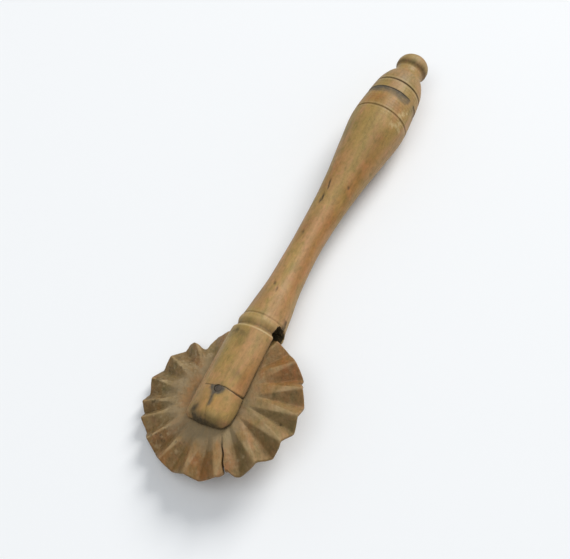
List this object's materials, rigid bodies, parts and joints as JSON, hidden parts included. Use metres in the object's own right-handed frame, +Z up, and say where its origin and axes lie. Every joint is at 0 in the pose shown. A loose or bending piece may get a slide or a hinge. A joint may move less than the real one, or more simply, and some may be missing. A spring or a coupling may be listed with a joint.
{
  "type": "pastry cutter wheel",
  "caption": "Hand-turned wooden pastry wheel: a fluted wooden wheel spins on an iron pin in the forked end of a turned handle, to crimp and cut dough.",
  "frame": {"origin": "bottom centre of the object's box as it lies at rest, on the table", "axes": "+Z up, +X along the handle from the wheel towards the knob, +Y to the side the wheel leans down to"},
  "size_m": [0.1724, 0.0494, 0.0197],
  "materials": {
    "handle_wood": "worn satin, oiled by handling",
    "wheel_wood": "dry and dusty, darkened with age",
    "pin_iron": "rusted and blackened"
  },
  "bodies": {
    "handle": {"handle": "handle_wood", "prong_tip": "handle_wood", "axle_pin": "pin_iron"},
    "wheel": {"wheel": "wheel_wood"}
  },
  "joints": [
    {"name": "wheel_spin", "type": "hinge", "parent": "handle", "child": "wheel", "pos_m": [-0.06049, -0.00096, 0.00902], "axis": [-0.0031, 0.269, 0.9631], "continuous": true}
  ]
}
